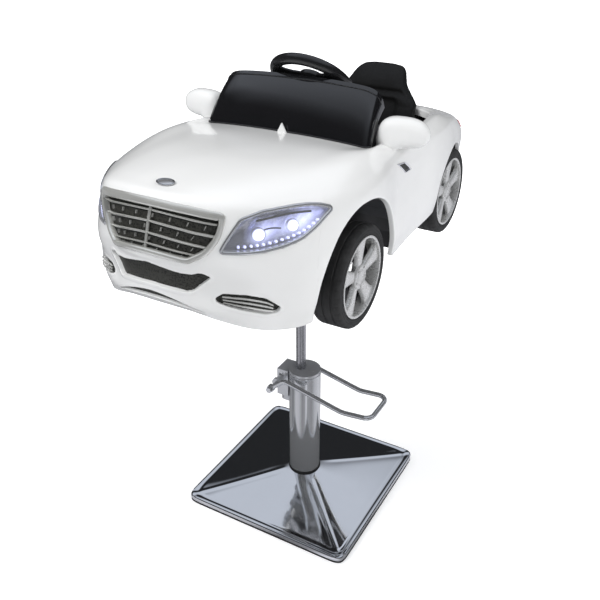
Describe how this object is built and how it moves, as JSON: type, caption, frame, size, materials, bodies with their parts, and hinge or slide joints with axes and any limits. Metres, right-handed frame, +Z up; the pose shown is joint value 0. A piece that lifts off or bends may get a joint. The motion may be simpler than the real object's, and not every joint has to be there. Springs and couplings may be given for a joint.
{
  "type": "kids car barber chair",
  "caption": "Child barber chair: a small car body with seat, steering wheel and road wheels on a lifting, swivelling pump column with a square base.",
  "frame": {"origin": "on the floor under the swivel axis, on the bottom face of the base plate", "axes": "+Z up along the swivel axis; the car faces -Y; its left side is +X"},
  "size_m": [0.66, 1.1642, 1.3071],
  "materials": {
    "chrome": "polished",
    "black_rubber": "matt",
    "plate_steel": "satin black paint",
    "bright_steel": "ground",
    "pump_metal": "machined",
    "washer_brass": "turned",
    "black_steel": "satin black paint",
    "white_body": "gloss white",
    "black_tub": "fine grain",
    "black_trim": "satin",
    "black_gloss": "gloss black",
    "wheel_grip": "soft gloss",
    "lamp_white": "lit lamp",
    "clear_lens": "clear",
    "red_lens": "clear red",
    "grey_deck": "satin grey",
    "red_switch": "gloss red",
    "black_leather": "soft black leather",
    "mirror_face": "polished",
    "tyre_black": "matt",
    "rim_silver": "silver paint"
  },
  "bodies": {
    "base": {"floor_gasket": "black_rubber", "base_plate": "plate_steel", "base_cover": "chrome", "column_collar": "black_rubber", "pump_sleeve": "chrome", "pump_body": "pump_metal", "pump_bracket": "chrome", "plunger_spring": "bright_steel"},
    "pedal": {"pump_pedal": "chrome", "pedal_pin": "chrome"},
    "plunger": {"pump_plunger": "bright_steel"},
    "ram": {"lift_ram": "bright_steel", "thrust_washer": "washer_brass"},
    "car": {"swivel_socket": "black_steel", "seat_frame": "black_steel", "frame_bolts": "bright_steel", "floor_tub": "black_tub", "body_shell": "white_body", "front_arch_liners": "black_tub", "rear_arch_liners": "black_tub", "grille_surround": "chrome", "grille_bars": "chrome", "grille_mesh": "black_trim", "hood_badge": "chrome", "lip_trim": "black_trim", "headlight_housings": "black_trim", "headlight_lamps": "lamp_white", "headlight_lenses": "clear_lens", "lower_vents": "black_trim", "fog_fins": "chrome", "windscreen": "black_gloss", "hood_tab": "white_body", "dashboard": "black_tub", "column_bush": "black_steel", "seat_cushion": "black_leather", "seat_back": "black_leather", "mirror_left": "white_body", "mirror_right": "white_body", "mirror_glasses": "mirror_face", "side_vents": "chrome", "tail_lights": "red_lens", "rear_deck": "grey_deck", "battery": "black_tub", "rear_axle": "black_steel", "front_beam": "black_steel"},
    "steering": {"steering_column": "black_steel", "steering_wheel": "wheel_grip"},
    "horn": {"horn_button": "black_trim"},
    "switch": {"dash_switch": "red_switch"},
    "knuckle_l": {"knuckle_left": "black_steel"},
    "knuckle_r": {"knuckle_right": "black_steel"},
    "tie": {"tie_rod": "bright_steel"},
    "wheel_fl": {"tyre_fl": "tyre_black", "rim_fl": "rim_silver"},
    "wheel_fr": {"tyre_fr": "tyre_black", "rim_fr": "rim_silver"},
    "wheel_rl": {"tyre_rl": "tyre_black", "rim_rl": "rim_silver"},
    "wheel_rr": {"tyre_rr": "tyre_black", "rim_rr": "rim_silver"}
  },
  "joints": [
    {"name": "pedal_press", "type": "hinge", "parent": "base", "child": "pedal", "pos_m": [-0.068, 0, 0.355], "axis": [0, 1, 0], "range_deg": [0, 18], "stiffness_Nm_per_rad": 12, "springref_deg": -14.32},
    {"name": "plunger_slide", "type": "slide", "parent": "base", "child": "plunger", "axis": [0, 0, -1], "range_m": [0, 0.0057], "deforming": ["plunger_spring"]},
    {"name": "lift", "type": "slide", "parent": "base", "child": "ram", "axis": [0, 0, 1], "range_m": [-0.18, 0.02]},
    {"name": "swivel", "type": "hinge", "parent": "ram", "child": "car", "pos_m": [0, 0, 0.77], "axis": [0, 0, 1], "continuous": true},
    {"name": "steering_turn", "type": "hinge", "parent": "car", "child": "steering", "pos_m": [0, 0.0535, 1.2324], "axis": [0, 0.6494, 0.7604], "range_deg": [-45, 45]},
    {"name": "horn_press", "type": "slide", "parent": "steering", "child": "horn", "axis": [0, -0.6494, -0.7604], "range_m": [0, 0.003], "stiffness_N_per_m": 600, "springref_m": -0.002},
    {"name": "switch_press", "type": "slide", "parent": "car", "child": "switch", "axis": [0, -1, 0], "range_m": [0, 0.0025], "stiffness_N_per_m": 600, "springref_m": -0.002},
    {"name": "knuckle_left_turn", "type": "hinge", "parent": "car", "child": "knuckle_l", "pos_m": [0.225, -0.237, 0.89], "axis": [0, 0, 1], "range_deg": [-18, 18]},
    {"name": "knuckle_right_turn", "type": "hinge", "parent": "car", "child": "knuckle_r", "pos_m": [-0.225, -0.237, 0.89], "axis": [0, 0, 1], "range_deg": [-18, 18]},
    {"name": "tie_slide", "type": "slide", "parent": "car", "child": "tie", "axis": [1, 0, 0], "range_m": [-0.0175, 0.0175]},
    {"name": "wheel_fl_spin", "type": "hinge", "parent": "knuckle_l", "child": "wheel_fl", "pos_m": [0.255, -0.237, 0.89], "axis": [1, 0, 0], "continuous": true},
    {"name": "wheel_fr_spin", "type": "hinge", "parent": "knuckle_r", "child": "wheel_fr", "pos_m": [-0.255, -0.237, 0.89], "axis": [1, 0, 0], "continuous": true},
    {"name": "wheel_rl_spin", "type": "hinge", "parent": "car", "child": "wheel_rl", "pos_m": [0.239, 0.367, 0.89], "axis": [1, 0, 0], "continuous": true},
    {"name": "wheel_rr_spin", "type": "hinge", "parent": "car", "child": "wheel_rr", "pos_m": [-0.239, 0.367, 0.89], "axis": [1, 0, 0], "continuous": true}
  ],
  "couplings": [
    {"joint": "plunger_slide", "follows": "pedal_press", "m_per_rad": 0.018},
    {"joint": "knuckle_left_turn", "follows": "steering_turn", "ratio": 0.4},
    {"joint": "knuckle_right_turn", "follows": "steering_turn", "ratio": 0.4},
    {"joint": "tie_slide", "follows": "steering_turn", "m_per_rad": -0.02164}
  ]
}
